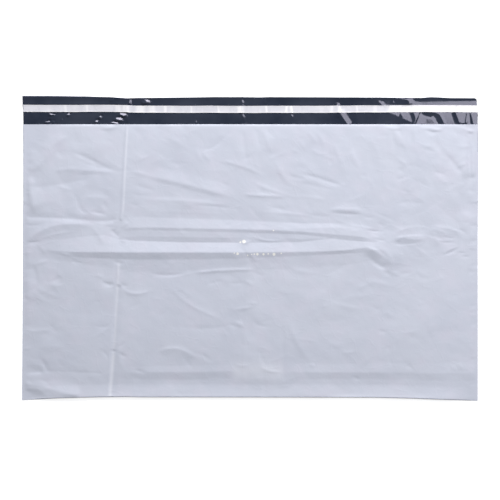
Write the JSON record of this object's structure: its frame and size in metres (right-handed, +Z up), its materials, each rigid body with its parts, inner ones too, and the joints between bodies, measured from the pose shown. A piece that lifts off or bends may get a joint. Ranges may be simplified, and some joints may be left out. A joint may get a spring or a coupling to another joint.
{
  "type": "poly mailer bag",
  "caption": "Wide empty poly mailer bag lying flat, with a folded film pocket, an open dark-lined adhesive flap and a white release liner strip.",
  "frame": {"origin": "on the table, under the middle of the bag's bounding box", "axes": "+X along the bag's width, +Y from the bottom fold towards the flap, +Z up out of the front panel"},
  "size_m": [0.825, 0.549, 0.0129],
  "materials": {
    "pale_film": "satin",
    "dark_film": "gloss",
    "adhesive": "gloss",
    "liner": "satin"
  },
  "bodies": {
    "root": {"outer_film_ply": "pale_film", "inner_film_ply": "dark_film", "adhesive_strip": "adhesive", "release_liner": "liner"}
  },
  "joints": []
}
